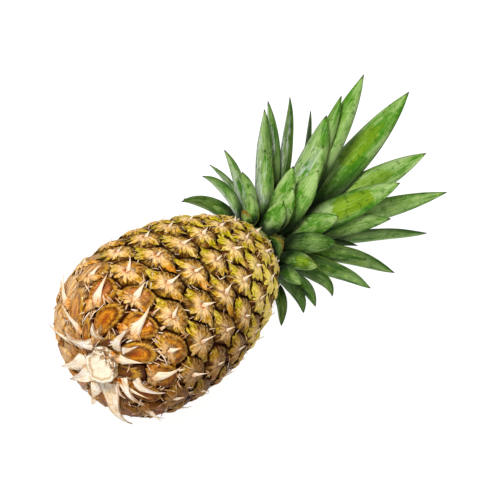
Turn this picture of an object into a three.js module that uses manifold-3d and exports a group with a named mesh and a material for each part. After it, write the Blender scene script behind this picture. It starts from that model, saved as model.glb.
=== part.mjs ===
// A whole pineapple with its crown of leaves, lying on its side. Millimetres, +Z up, with the middle of the
// flat spot that it lies on at the origin.
// The fruit is worked out upright, with its base at z = 0 and the crown above it, and is laid down at the end
import * as THREE from "three";
import { mergeVertices } from "three/addons/utils/BufferGeometryUtils.js";
import Module from "manifold-3d";

const wasm = await Module();
wasm.setup();

// The fruit's body
const FRUIT_RADIUS = 60;
const FRUIT_LENGTH = 172.5;
const SHOULDER_POWER = 2.12; // 2 is an ellipse, and more is squarer at both ends
const BASE_HEAVINESS = 0.666; // below 1, the widest place is nearer the base
const LYING_DIP = 6; // degrees that the axis dips towards the crown where the fruit comes to rest
const BELLY_PRESS = 1.4; // depth of the flat spot that the fruit lies on
const BELLY_REACH = 1.2; // height over which the grooves round the flat spot are filled
const OUTLINE_ROWS = 20; // how finely the smooth skin round the flat spot is split
const OUTLINE_SIDES = 36;
const CROWN_SEAT = 8.3; // the top that the crown's stem stands on, cut this far below the pole

// The eyes, along one spiral that winds up the fruit
const EYE_TURN = 42.53; // degrees round from one eye to the next
const EYE_RISE = 1.289;
const EYE_NEIGHBOURS = [8, 9, 17]; // how much later the eyes above come: left, right and straight up
const FIRST_EYE = -49;
const LAST_EYE = 88;
const EYE_SHIFT = 0.8; // how far up from its spike's root an eye's middle is
const BASE_EYE_SHIFT = 8.7; // how much further up that is at the base
const SHIFTED_FROM = -45; // the eye that has the whole of that shift
const SHIFTED_OVER = 32; // the eyes over which it dies away
const EYE_TOP = -0.4;
const EYE_RINGS = [[1, 3.4], [0.64, 0.5]]; // part of the way out to the corners, and depth below the top
const EYE_FULL_RADIUS = 30; // nearer the axis than this, the grooves get shallower
const BASE_SETTLE = 4; // below this height the spiral closes in on the pole
const POLE_RIM = 0.4; // height of the rim of skin round the crown's pole
const POLE_DIP = 0.5; // height of the point that closes each pole
const FIRST_SPIKE = -33; // the eyes that bear a spike
const LAST_SPIKE = 80;
const SPIKE_LENGTH = 12;
const SPIKE_VARIES = 0.25; // part of its length that a spike is longer or shorter
const SPIKE_PACE = 2.9; // radians from one spike to the next in that
const SPIKE_FULL_RADIUS = 45; // nearer the axis than this, the spikes get shorter
const SPIKE_WIDTH = 1.9;
const SPIKE_BEHIND = 3; // how far below its eye's place a spike is rooted, and how far above it is aimed at
const SPIKE_AHEAD = 5;
const SPIKE_ROOT = 1.6; // depth of a spike's foot in its eye
const SPIKE_LEAN = 22; // degrees that a spike stands off the skin

// The base, where the stalk was cut, a little off the axis. Places on it are given as how far they are from
// the axis towards the side that ends up on top, and towards the front
const SCAR = [9, 15];
const STUB_RADIUS = 10;
const STUB_PROUD = 5;
const STUB_TILT = 20; // degrees that the cut leans, and the way to its highest side
const STUB_TILT_TO = [-0.77, -0.64];
const STUB_ROOTED = 12; // how deep in the fruit the stub reaches
const STUB_FLARE = 1.1; // the rim's outer and inner radius, as parts of the stub's
const STUB_MOUTH = 0.8;
const STUB_HOLLOW = 2; // depth of the hollow in its middle
const STUB_SIDES = 12;
const BRACT_THICKNESS = 1.6;
const BRACT_SUNK = 2.5; // how far in the skin a bract's foot is
const BRACT_SWELL = 1.4; // how far its middle stands off the skin
const BRACT_TUCK = 3; // how far towards the scar its foot goes on past its root
const BRACT_CUP = 0.12;
const BRACT_ROWS = 4;
const BRACT_STEP = 0.05; // part of a bract's length over which its lean is taken
// The dried bracts round it: the middle of the root, the tip, the root's width and how far the tip curls up
const BASE_BRACTS = [
  [0, -1, -19, -26, 15, 4],
  [-8, 4, -25, -18, 12, 4],
  [-13, 9, -28, 3, 11, 3],
  [-10, 16, -35, 30, 16, 4],
  [0, 28, -16, 42, 11, 3],
  [26, 20, 45, 30, 12, 6],
  [17, -2, 30, -21, 14, 4],
  [9, -7, 15, -20, 11, 3],
  [24, 6, 34, 3, 15, 3],
  [-6, 22, -14, 30, 9, 1],
  [24, 25, 29, 35, 8, 2],
  [14, 31, 12, 41, 9, 2],
];

// The crown
const STEM_LENGTH = 62;
const STEM_FOOT_RADIUS = 23;
const STEM_TOP_RADIUS = 6;
const STEM_FLARE = 28; // length over which the foot's flare dies away
const STEM_GAP = 0.3; // between the fruit and the stem's foot
const STEM_POINT = 6; // length of the rounded end, and its breadth at the very tip as part of the stem's
const STEM_BLUNT = 0.35;
const STEM_ROWS = 9;
const STEM_SIDES = 12;
const LEAF_GAP = 0.9;
const LEAF_ROWS = 7;
const LOWEST_LEAF = -6; // where the first leaf stands along the stem
const LEAF_SPREAD = 46; // length of stem that bears leaves
const LEAF_WIDTH = 12; // a leaf's width, and how much wider it is for each millimetre of its length
const LEAF_WIDENS = 0.1;
const LEAF_CUP = 0.22;
const LEAF_WRAP = 15; // the tightest curve that a leaf's root has across it
const LEAF_ROOT = 0.6; // the root's breadth as part of the leaf's, and how far along the leaf is full
const LEAF_FULL_FROM = 0.3;
const LEAF_POINT = 4.6; // more makes a leaf's sides straighter and its point blunter
const LEAF_COLUMNS = [-1, -0.5, 0, 0.5, 1];
const LEAF_THICKNESS = 1;
const HOOK_FROM = 0.7; // part of the leaf's length where a hooked tip begins
const ARC_STEPS = 56; // steps along a midline, a multiple of a blade's rows

const DEG = Math.PI / 180;
const paint = (color, roughness) =>
  new THREE.MeshStandardMaterial({ color, roughness, metalness: 0 });
const RIND = paint(0xb98a35, 0.55);
const LEAF = paint(0x5f8f3c, 0.5);
const STEM = paint(0x8f9a55, 0.7);

const clamp01 = (x) => Math.min(1, Math.max(0, x));

// The fruit's radius at a height, out to the tops of its eyes
function fruitRadius(z) {
  const u = 2 * clamp01(z / FRUIT_LENGTH) ** BASE_HEAVINESS - 1;
  return FRUIT_RADIUS * (1 - Math.abs(u) ** SHOULDER_POWER) ** (1 / SHOULDER_POWER);
}

// A place by its turn about the axis, in degrees from the side that ends up on top
const about = (turn, radius, z) =>
  new THREE.Vector3(-radius * Math.cos(turn * DEG), -radius * Math.sin(turn * DEG), z);

function solidOf(geometry) {
  const bare = geometry.clone();
  bare.deleteAttribute("normal");
  bare.deleteAttribute("uv");
  const merged = mergeVertices(bare, 1e-3);
  return new wasm.Manifold(
    new wasm.Mesh({
      numProp: 3,
      vertProperties: new Float32Array(merged.attributes.position.array),
      triVerts: new Uint32Array(merged.index.array),
    }),
  );
}

function geometryOf(solid) {
  const { vertProperties, triVerts, numProp, numVert } = solid.getMesh();
  const places = new Float32Array(numVert * 3);
  for (let i = 0; i < numVert; i++)
    places.set(vertProperties.subarray(i * numProp, i * numProp + 3), i * 3);
  const geometry = new THREE.BufferGeometry();
  geometry.setAttribute("position", new THREE.BufferAttribute(places, 3));
  geometry.setIndex(new THREE.BufferAttribute(triVerts, 1));
  geometry.computeVertexNormals();
  return geometry;
}

// A body of revolution about the axis, between two heights, closed at both ends
function turned(radiusAt, from, to, rows, sides) {
  const profile = [new THREE.Vector2(0, from)];
  for (let i = 0; i <= rows; i++) {
    const z = from + ((to - from) * (1 - Math.cos((Math.PI * i) / rows))) / 2;
    const radius = radiusAt(z);
    if (radius > 0.01) profile.push(new THREE.Vector2(radius, z));
  }
  profile.push(new THREE.Vector2(0, to));
  return new THREE.LatheGeometry(profile, sides).rotateX(Math.PI / 2);
}

// A thin blade whose two faces are split alike and meet in its edges: middle(s) gives the midline's place
// along the axis and out from it, its lean from the axis and its turn, and breadth(s) its full width
function blade({ middle, breadth, thickness, cup, rows = LEAF_ROWS }) {
  const places = [];
  const index = [];
  const last = LEAF_COLUMNS.length - 1;
  const at = (face, row, column) => (face * (rows + 1) + row) * (last + 1) + column;
  for (const face of [1, -1])
    for (let row = 0; row <= rows; row++) {
      const s = row / rows;
      const { along, out, lean, turn } = middle(s);
      const wrap = Math.max(out, LEAF_WRAP); // the root wraps the stem, and the blade flattens further out
      const thick = (thickness / 2) * (1 - 0.5 * s);
      for (const x of LEAF_COLUMNS) {
        const side = (x * breadth(s)) / 2;
        const inwards =
          wrap * (1 - Math.cos(side / wrap)) +
          (cup * Math.abs(x) ** 1.5 * breadth(s) * clamp01(3 * s)) / 2 -
          face * thick * (1 - x * x);
        const place = about(turn, out - inwards * Math.cos(lean), along + inwards * Math.sin(lean));
        const sideways = about(turn + 90, wrap * Math.sin(side / wrap), 0);
        places.push(...place.add(sideways).toArray());
      }
    }
  const quad = (a, b, c, d) => index.push(a, b, c, a, c, d);
  for (let row = 0; row < rows; row++)
    for (let column = 0; column < last; column++) {
      quad(
        at(0, row, column),
        at(0, row, column + 1),
        at(0, row + 1, column + 1),
        at(0, row + 1, column),
      );
      const [a, b, c, d] = [
        at(1, row, column),
        at(1, row, column + 1),
        at(1, row + 1, column + 1),
        at(1, row + 1, column),
      ];
      index.push(a, c, b, a, d, c);
    }
  for (let column = 0; column < last; column++)
    quad(at(0, 0, column + 1), at(0, 0, column), at(1, 0, column), at(1, 0, column + 1));
  const geometry = new THREE.BufferGeometry();
  geometry.setAttribute("position", new THREE.BufferAttribute(new Float32Array(places), 3));
  geometry.setIndex(index);
  return geometry;
}

// A midline that bends evenly from its foot to its tip, with a hook past the tip if asked for
function arc(foot, tip, bend, hook, turn) {
  const chord = Math.hypot(tip.along - foot.along, tip.out - foot.out);
  const lean = Math.atan2(tip.out - foot.out, tip.along - foot.along);
  const half = (bend * DEG) / 2;
  const length = Math.abs(half) > 1e-4 ? (chord * half) / Math.sin(half) : chord;
  const leanAt = (s) =>
    lean + half * (2 * s - 1) + hook * DEG * clamp01((s - HOOK_FROM) / (1 - HOOK_FROM)) ** 1.3;
  const points = [{ ...foot }];
  for (let i = 0; i < ARC_STEPS; i++) {
    const angle = leanAt((i + 0.5) / ARC_STEPS);
    points.push({
      along: points[i].along + (length / ARC_STEPS) * Math.cos(angle),
      out: points[i].out + (length / ARC_STEPS) * Math.sin(angle),
    });
  }
  const middle = (s) => ({ ...points[Math.round(s * ARC_STEPS)], lean: leanAt(s), turn });
  return { middle, length };
}

// Where an eye's spike is rooted: its height and its turn about the axis. The spiral tightens a little at
// both ends, and its columns lean over towards the crown
function spikePlace(number) {
  const m = (EYE_RISE * number) / FRUIT_RADIUS;
  const z = FRUIT_RADIUS * (0.9144 + m - 0.0485 * m ** 2 + 0.0171 * m ** 3);
  return { z, turn: 48.85 + EYE_TURN * number - 7.857 * m ** 2 };
}

// The middle of an eye. The lower the eye, the nearer its spike is to its base side
function eyePlace(number) {
  const { z, turn } = spikePlace(number);
  const lower = 1 - clamp01((number - SHIFTED_FROM) / SHIFTED_OVER);
  return { z: z + EYE_SHIFT + BASE_EYE_SHIFT * lower ** 2 * (3 - 2 * lower), turn };
}

// The corner between one eye and two later ones, where three grooves meet
function corner(number, ...later) {
  const places = [eyePlace(number)];
  for (const step of later) {
    const { z, turn } = eyePlace(number + step);
    places.push({ z, turn: turn - 360 * Math.round((EYE_TURN * step) / 360) });
  }
  const mean = (of) => (of(places[0]) + of(places[1]) + of(places[2])) / 3;
  return { z: mean((p) => p.z), turn: mean((p) => p.turn) };
}

// The height at which a place of the spiral lies, once the spiral has closed in on the base's pole
const settled = (z) =>
  z < BASE_SETTLE ? BASE_SETTLE * Math.exp(z / BASE_SETTLE - 1) : Math.min(FRUIT_LENGTH - POLE_RIM, z);

// A point of the skin, a depth below the tops of the eyes
function skinPoint({ z, turn }, depth) {
  const height = settled(z);
  const slope = fruitRadius(height + 0.1) - fruitRadius(height - 0.1);
  const steep = Math.hypot(slope, 0.2);
  const inwards = depth / steep;
  return about(turn, fruitRadius(height) - 0.2 * inwards, height + slope * inwards);
}

// The skin as one closed body: each eye is a six-sided bump, and its corners are shared with its neighbours
function skin() {
  const places = [];
  const index = [];
  const known = new Map();
  const vertex = (key, place, depth) => {
    if (!known.has(key)) {
      known.set(key, places.length);
      places.push(skinPoint(place, depth * Math.min(1, fruitRadius(settled(place.z)) / EYE_FULL_RADIUS)));
    }
    return known.get(key);
  };
  const [left, right, above] = EYE_NEIGHBOURS;
  for (let number = FIRST_EYE; number <= LAST_EYE; number++) {
    const centre = eyePlace(number);
    // which eye names each corner round this one, and which two later eyes share it
    const corners = [
      [number, right, 0],
      [number - left, left, 1],
      [number - above, right, 0],
      [number - above, left, 1],
      [number - right, right, 0],
      [number, left, 1],
    ].map(([first, step]) => {
      const place = corner(first, step, above);
      const whole = 360 * Math.round((place.turn - centre.turn) / 360);
      return { key: first + "/" + step, place: { z: place.z, turn: place.turn - whole } };
    });
    const rings = EYE_RINGS.map(([reach, depth]) =>
      corners.map(({ key, place }, i) => {
        const between = {
          z: centre.z + reach * (place.z - centre.z),
          turn: centre.turn + reach * (place.turn - centre.turn),
        };
        return vertex(reach === 1 ? key : `${number}:${reach}:${i}`, between, depth);
      }),
    );
    const top = vertex(`${number}:top`, centre, EYE_TOP);
    for (let i = 0; i < 6; i++) {
      const j = (i + 1) % 6;
      for (let ring = 1; ring < rings.length; ring++) {
        const [outer, inner] = [rings[ring - 1], rings[ring]];
        index.push(outer[i], inner[i], outer[j], inner[i], inner[j], outer[j]);
      }
      index.push(rings.at(-1)[i], top, rings.at(-1)[j]);
    }
  }
  // the open rims at both ends are closed with a fan to each pole
  const open = new Map();
  for (let i = 0; i < index.length; i += 3)
    for (const [a, b] of [[0, 1], [1, 2], [2, 0]]) {
      const [from, to] = [index[i + a], index[i + b]];
      if (!open.delete(`${to} ${from}`)) open.set(`${from} ${to}`, [from, to]);
    }
  const poles = [POLE_DIP, FRUIT_LENGTH - POLE_DIP].map((z) => places.push(new THREE.Vector3(0, 0, z)) - 1);
  for (const [from, to] of open.values())
    index.push(to, from, poles[places[from].z < FRUIT_LENGTH / 2 ? 0 : 1]);
  const geometry = new THREE.BufferGeometry().setFromPoints(places);
  geometry.setIndex(index);
  return geometry;
}

// The papery spike on an eye, pointing to the crown
function spike(number) {
  const { z, turn } = spikePlace(number);
  const foot = skinPoint({ z: z - SPIKE_BEHIND, turn }, SPIKE_ROOT);
  const ahead = skinPoint({ z: z + SPIKE_AHEAD, turn }, SPIKE_ROOT).sub(foot).normalize();
  const out = skinPoint({ z, turn }, 0).sub(skinPoint({ z, turn }, 1));
  const size = Math.min(1, fruitRadius(z) / SPIKE_FULL_RADIUS);
  const length = SPIKE_LENGTH * size * (1 - SPIKE_VARIES + SPIKE_VARIES * Math.sin(number * SPIKE_PACE));
  const aim = ahead.addScaledVector(out, Math.tan(SPIKE_LEAN * DEG)).normalize();
  const shape = new THREE.ConeGeometry(SPIKE_WIDTH, length, 3, 1).translate(0, length / 2, 0);
  shape.applyQuaternion(new THREE.Quaternion().setFromUnitVectors(new THREE.Vector3(0, 1, 0), aim));
  return solidOf(shape.translate(...foot.toArray()));
}

// The height of the fruit's base at a distance from the axis
function baseHeight(out) {
  const u = (1 - clamp01(out / FRUIT_RADIUS) ** SHOULDER_POWER) ** (1 / SHOULDER_POWER);
  return FRUIT_LENGTH * ((1 - u) / 2) ** (1 / BASE_HEAVINESS);
}

// A place on the base's plane, by how far it is from the axis towards the top side and towards the front
const onBase = (up, front) => new THREE.Vector3(-up, -front, 0);

// A dried bract that lies along the base from the scar to its tip. It is made pointing up and turned over
function baseBract([rootUp, rootFront, tipUp, tipFront, width, rise]) {
  const root = onBase(rootUp, rootFront);
  root.addScaledVector(onBase(...SCAR).sub(root).normalize(), BRACT_TUCK);
  const reach = onBase(tipUp, tipFront).sub(root);
  const place = (s) => {
    const under = root.clone().addScaledVector(reach, s);
    const lift = rise * s ** 1.5 + BRACT_SWELL * Math.sin(Math.PI * s) - BRACT_SUNK * (1 - s) ** 3;
    return { along: lift - baseHeight(under.length()), out: reach.length() * s };
  };
  const middle = (s) => {
    const [before, after] = [place(Math.max(0, s - BRACT_STEP)), place(Math.min(1, s + BRACT_STEP))];
    const lean = Math.atan2(after.out - before.out, after.along - before.along);
    return { ...place(s), lean, turn: Math.atan2(reach.y, -reach.x) / DEG };
  };
  const breadth = (s) => width * (0.85 * (1 - s) ** 1.1 + 0.15 * (1 - s ** 3));
  const shape = blade({ middle, breadth, thickness: BRACT_THICKNESS, cup: BRACT_CUP, rows: BRACT_ROWS });
  return solidOf(shape.rotateX(Math.PI).translate(...root.toArray()));
}

// The stub of the stalk, cut hollow, with its cut face leaning
function stub() {
  const profile = [
    [0, STUB_HOLLOW - STUB_PROUD],
    [STUB_RADIUS * STUB_MOUTH, -STUB_PROUD],
    [STUB_RADIUS * STUB_FLARE, -STUB_PROUD],
    [STUB_RADIUS, STUB_ROOTED],
    [0, STUB_ROOTED],
  ];
  const outline = profile.map(([radius, z]) => new THREE.Vector2(radius, z));
  const hinge = new THREE.Vector3(0, 0, 1).cross(onBase(...STUB_TILT_TO)).normalize();
  const lean = new THREE.Matrix4().makeRotationAxis(hinge, STUB_TILT * DEG);
  const shape = new THREE.LatheGeometry(outline, STUB_SIDES).rotateX(Math.PI / 2).applyMatrix4(lean);
  return solidOf(shape.translate(...onBase(...SCAR).toArray()));
}

// Where the belly of the lying fruit is lowest: how far on from the base, and how deep below it
function lowestPlace() {
  const [level, steep] = [Math.cos(LYING_DIP * DEG), Math.sin(LYING_DIP * DEG)];
  let lowest = { onwards: 0, depth: 0 };
  for (let z = 0; z <= FRUIT_LENGTH; z += 0.25) {
    const depth = fruitRadius(z) * level + z * steep;
    if (depth > lowest.depth) lowest = { onwards: z * level - fruitRadius(z) * steep, depth };
  }
  return lowest;
}
const belly = lowestPlace();
const floorDepth = belly.depth - BELLY_PRESS;

function fruit() {
  // a half space below the belly, turned back into the upright frame
  const below = (depth, thick) =>
    solidOf(
      new THREE.BoxGeometry(3 * FRUIT_LENGTH, 3 * FRUIT_LENGTH, thick)
        .translate(0, 0, -depth - thick / 2)
        .rotateY(-(90 + LYING_DIP) * DEG),
    );
  const outline = solidOf(turned(fruitRadius, 0, FRUIT_LENGTH, OUTLINE_ROWS, OUTLINE_SIDES));
  const pressed = outline.intersect(below(floorDepth - BELLY_REACH, 50));
  const pieces = [solidOf(skin()), pressed, stub(), ...BASE_BRACTS.map(baseBract)];
  for (let number = FIRST_SPIKE; number <= LAST_SPIKE; number++) pieces.push(spike(number));
  const seat = solidOf(
    new THREE.BoxGeometry(200, 200, 100).translate(0, 0, FRUIT_LENGTH - CROWN_SEAT + 50),
  );
  const whole = wasm.Manifold.union(pieces).subtract(below(floorDepth, 50)).subtract(seat);
  // the largest body is the fruit, and any other is a hollow that joining has sealed, which is filled
  return whole.decompose().sort((a, b) => b.volume() - a.volume())[0];
}

const stemRadius = (along) =>
  STEM_TOP_RADIUS +
  (STEM_FOOT_RADIUS - STEM_TOP_RADIUS) * Math.exp(-(along + CROWN_SEAT) / STEM_FLARE);

function stem() {
  const end = (along) => Math.min(1, (STEM_LENGTH - along) / STEM_POINT + STEM_BLUNT);
  const radiusAt = (along) => (along > STEM_LENGTH - 0.01 ? 0 : stemRadius(along) * end(along));
  return turned(radiusAt, STEM_GAP - CROWN_SEAT, STEM_LENGTH, STEM_ROWS, STEM_SIDES);
}

// The crown's leaves: turn about the axis in degrees, the tip's place along the axis and out from it, degrees
// that the leaf bends outwards, and what is its own, such as a slim blade or a hooked tip
const CROWN_LEAVES = [
  // the leaves on top and towards the front, short and bent back over the shoulder first
  [-58, -29, 62, 90, {}],
  [-70, -14, 68, 85, { slim: 0.6 }],
  [-24, -4, 35, 10, { slim: 0.75 }],
  [56, 11, 18, 0, { slim: 1.6, foot: -6 }],
  [-28, 10, 42, 15, { slim: 1.1 }],
  [12, 14, 43, 15, { slim: 1.15 }],
  [-38, 21, 57, 10, { slim: 1.1, hook: 15 }],
  [-66, 16, 76, 70, { slim: 0.8, hook: 30 }],
  [10, 25, 49, 15, { slim: 1.2 }],
  [-54, 33, 80, 25, { slim: 0.8 }],
  [-74, 38, 86, 60, { slim: 0.5 }],
  [0, 35, 59, 15, { slim: 1.1 }],
  [14, 48, 58, 20, { slim: 1.25 }],
  [-34, 47, 64, 5, { slim: 1.15 }],
  [-48, 86, 92, -5, { slim: 1.1 }],
  [4, 66, 66, 25, { slim: 1.2 }],
  [-52, 102, 98, 25, { slim: 0.8 }],
  [-46, 116, 91, 15, { slim: 0.75 }],
  [-14, 100, 73, 20, { slim: 1.4 }],
  [-14, 122, 82, 15, { slim: 0.9 }],
  [-11, 148, 92, 10, {}],
  [-64, 156, 78, 20, { slim: 0.6 }],
  [2, 192, 67, 6, { slim: 1.1 }],
  [50, 166, 54, 14, {}],
  // the leaves towards the front and the floor
  [132, -20, 56, 50, { slim: 0.85 }],
  [108, 4, 42, 15, { slim: 1.1 }],
  [138, 12, 60, 75, { hook: 10 }],
  [128, 18, 60, 60, { hook: 25 }],
  [92, 17, 44, 10, { slim: 1.15 }],
  [118, 32, 62, 50, { hook: 50 }],
  [76, 37, 46, 15, { slim: 1.2 }],
  [56, 50, 43, 20, { slim: 1.2 }],
  [116, 60, 75, 25, {}],
  [98, 59, 61, 20, {}],
  [112, 86, 78, 30, {}],
  [114, 81, 42, 15, { slim: 0.6 }],
  [78, 92, 59, 15, {}],
  [116, 154, 68, -3, { slim: 0.8 }],
  [54, 101, 69, -4, { slim: 1.1 }],
  [76, 149, 76, 4, { slim: 0.8 }],
  // the leaves behind, and those that the floor turns up
  [-110, -14, 62, 90, {}],
  [-150, -12, 46, 60, {}],
  [165, -4, 46, 60, {}],
  [-90, 22, 66, 60, {}],
  [-132, 20, 56, 60, {}],
  [178, 20, 42, 50, {}],
  [-105, 46, 78, 60, {}],
  [152, 50, 44, 50, {}],
  [-150, 52, 46, 50, {}],
  [180, 70, 36, 40, {}],
  [-101, 110, 70, 38, { slim: 0.8 }],
  [-126, 97, 63, 33, { slim: 0.9 }],
  [166, 104, 34, 20, {}],
  [-151, 110, 30, 22, { slim: 0.8 }],
  [-100, 150, 50, 20, {}],
  [150, 150, 28, 20, { slim: 0.8 }],
];

// The flatter a leaf leans, the lower it stands on the stem
const leanOf = ([, along, out]) => Math.atan2(out, along);
CROWN_LEAVES.sort((a, b) => leanOf(b) - leanOf(a));

function crownLeaf([turn, along, out, bend, own], number) {
  const footAlong = own.foot ?? LOWEST_LEAF + LEAF_SPREAD * (number / CROWN_LEAVES.length) ** 1.4;
  const foot = { along: footAlong, out: stemRadius(footAlong) + LEAF_GAP };
  const { middle, length } = arc(foot, { along, out }, bend, own.hook ?? 0, turn);
  const width = (LEAF_WIDTH + LEAF_WIDENS * length) * (own.slim ?? 1);
  const grown = (s) => Math.sin((Math.PI / 2) * clamp01(s / LEAF_FULL_FROM));
  const breadth = (s) => width * (LEAF_ROOT + (1 - LEAF_ROOT) * grown(s)) * (1 - s ** LEAF_POINT);
  return blade({ middle, breadth, thickness: LEAF_THICKNESS, cup: LEAF_CUP });
}

const pineapple = new THREE.Group();
const lying = new THREE.Group();
lying.rotation.y = (90 + LYING_DIP) * DEG;
lying.position.set(-belly.onwards, 0, floorDepth); // the middle of the flat spot comes to the origin
const crown = new THREE.Group();
crown.position.z = FRUIT_LENGTH;
pineapple.add(lying);
lying.add(crown);

function addMesh(parent, name, geometry, material) {
  const mesh = new THREE.Mesh(geometry, material);
  mesh.name = name;
  parent.add(mesh);
}
addMesh(lying, "fruit", geometryOf(fruit()), RIND);
addMesh(crown, "crown_stem", stem(), STEM);
CROWN_LEAVES.forEach((leaf, i) =>
  addMesh(crown, "leaf_" + String(i + 1).padStart(2, "0"), crownLeaf(leaf, i), LEAF),
);

export default pineapple;
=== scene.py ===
# %% [markdown]
# # A whole pineapple, lying on its side
# The fruit and its crown were modelled as solids first, and they are loaded here as a fixed frame. This
# lesson gives them the surface of the real thing: eyes in a spiral, each with a star of dried bracts and a
# papery spike, the cut stalk in its ruff of straw-coloured bracts, and broad leaves with a silvery bloom.
# Sizes are typed in millimetres and scaled to the frame's metres when they reach a mesh.

# %% Load the frame
import math
import bpy
import numpy as np
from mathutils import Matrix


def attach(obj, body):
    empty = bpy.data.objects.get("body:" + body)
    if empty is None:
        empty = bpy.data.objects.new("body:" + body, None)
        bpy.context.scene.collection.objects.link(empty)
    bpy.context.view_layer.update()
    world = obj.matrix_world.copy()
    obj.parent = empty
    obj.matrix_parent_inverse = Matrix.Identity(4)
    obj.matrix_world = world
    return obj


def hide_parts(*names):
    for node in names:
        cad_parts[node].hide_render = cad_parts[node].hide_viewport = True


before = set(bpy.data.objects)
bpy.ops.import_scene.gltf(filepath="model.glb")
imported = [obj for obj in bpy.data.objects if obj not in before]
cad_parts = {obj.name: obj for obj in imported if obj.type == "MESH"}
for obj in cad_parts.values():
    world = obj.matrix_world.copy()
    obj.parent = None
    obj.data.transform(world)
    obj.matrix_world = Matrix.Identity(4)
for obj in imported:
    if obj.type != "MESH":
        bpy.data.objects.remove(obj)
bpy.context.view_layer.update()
print("the frame holds", len(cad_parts), "nodes")

# %% [markdown]
# ## Where the fruit lies
# A pineapple is easiest to work out upright: a height along its axis, a turn about it and a distance from
# it. The real one lies down, dipping a little towards the crown, so one function lays any upright place
# down. The origin is the middle of the flat spot that the fruit rests on.

# %% The fruit's outline
MM = 0.001
FRUIT_RADIUS = 60
FRUIT_LENGTH = 172.5
SHOULDER_POWER = 2.12
BASE_HEAVINESS = 0.666
LYING_DIP = 6
BELLY_PRESS = 1.4
CROWN_SEAT = 8.3
POLE_RIM = 0.02
SKIN_SAMPLES = 4001
SLOPE_STEP = 0.1


def towards(degrees):
    """The two steps that lead in a direction."""
    return np.cos(np.radians(degrees)), np.sin(np.radians(degrees))


def unit(x):
    """The number itself, held between 0 and 1."""
    return np.clip(x, 0, 1)


def running(steps):
    return np.concatenate([[0], np.cumsum(steps)])


def fruit_radius(z):
    u = 2 * unit(z / FRUIT_LENGTH) ** BASE_HEAVINESS - 1
    return FRUIT_RADIUS * (1 - np.abs(u) ** SHOULDER_POWER) ** (1 / SHOULDER_POWER)


heights = FRUIT_LENGTH * np.linspace(0, 1, SKIN_SAMPLES) ** 3
skin_lengths = running(np.hypot(np.diff(heights), np.diff(fruit_radius(heights))))


def length_at(z):
    """The way along the skin from the base to a height."""
    return np.interp(z, heights, skin_lengths)


def height_at(length):
    return np.interp(length, skin_lengths, heights)


print("the skin is", round(skin_lengths[-1]), "mm long from pole to pole")

# %% Laying an upright place down
level, drop = towards(LYING_DIP)
depths = fruit_radius(heights) * level + heights * drop
lowest = int(np.argmax(depths))
belly_onwards = heights[lowest] * level - fruit_radius(heights[lowest]) * drop
BASE_POLE = np.array([-belly_onwards, 0, depths[lowest] - BELLY_PRESS])
ALONG = np.array([level, 0, -drop])
TOP = np.array([drop, 0, level])
FRONT = np.array([0, -1, 0])


def lay(turn, radius, z):
    """Upright places, by turn in degrees from the top, distance from the axis and height, as they lie."""
    turn, radius, z = np.broadcast_arrays(turn, radius, z)
    up, forward = towards(turn)
    out = up[..., None] * TOP + forward[..., None] * FRONT
    return BASE_POLE + z[..., None] * ALONG + radius[..., None] * out


def skin_place(turn, z, lift):
    """A place of the skin as it lies, lifted off the tops of the eyes, and pressed flat on the floor."""
    z = np.clip(z, 0, FRUIT_LENGTH - POLE_RIM)
    slope = fruit_radius(z + SLOPE_STEP) - fruit_radius(z - SLOPE_STEP)
    steep = np.hypot(slope, 2 * SLOPE_STEP)
    place = lay(turn, fruit_radius(z) + 2 * SLOPE_STEP * lift / steep, z - slope * lift / steep)
    place[..., 2] = np.maximum(place[..., 2], 0)
    return place


def lie(places):
    """How far places are from the axis to the front and to the top, and how far along it, in decimetres."""
    away = (places - BASE_POLE) / 100
    return away @ FRONT, away @ TOP, away @ ALONG


print("the base pole lies at", BASE_POLE.round(1), "mm")

# %% [markdown]
# ## The camera
# The photograph looks down on the fruit from in front of its base. The camera's angle and distance were
# found by fitting the fruit's outline and its spiral of eyes, so here they are only typed in.

# %% Put the camera in its place
CAMERA_ELEVATION = 40.01
CAMERA_BEARING = -50.64
CAMERA_LENS = 72.73
CAMERA_FROM_MIDDLE = np.array([-369.3, -365.3, 481.2])
fruit_middle = lay(0, 0, FRUIT_LENGTH / 2)
camera_data = bpy.data.cameras.new("camera")
camera_data.lens = CAMERA_LENS
camera = bpy.data.objects.new("camera", camera_data)
camera.location = (fruit_middle + CAMERA_FROM_MIDDLE) * MM
camera.rotation_euler = (math.radians(90 - CAMERA_ELEVATION), 0, math.radians(CAMERA_BEARING))
bpy.context.scene.collection.objects.link(camera)
bpy.context.scene.camera = camera
print("the camera is", round(float(np.linalg.norm(CAMERA_FROM_MIDDLE))), "mm from the fruit's middle")

# %% [markdown]
# ## Shader maths in Python
# Patterns are worked out with many small Math nodes. Wired by hand they are hard to read, so a small class
# wraps a socket and overloads the operators: `1 - mask * 0.5` then adds the nodes.

# %% A value in a material, and the paint that holds it
def operator(operation, swapped=False):
    def work(value, other):
        pair = (other, value) if swapped else (value, other)
        return value.paint.math(operation, *pair)

    return work


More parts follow.
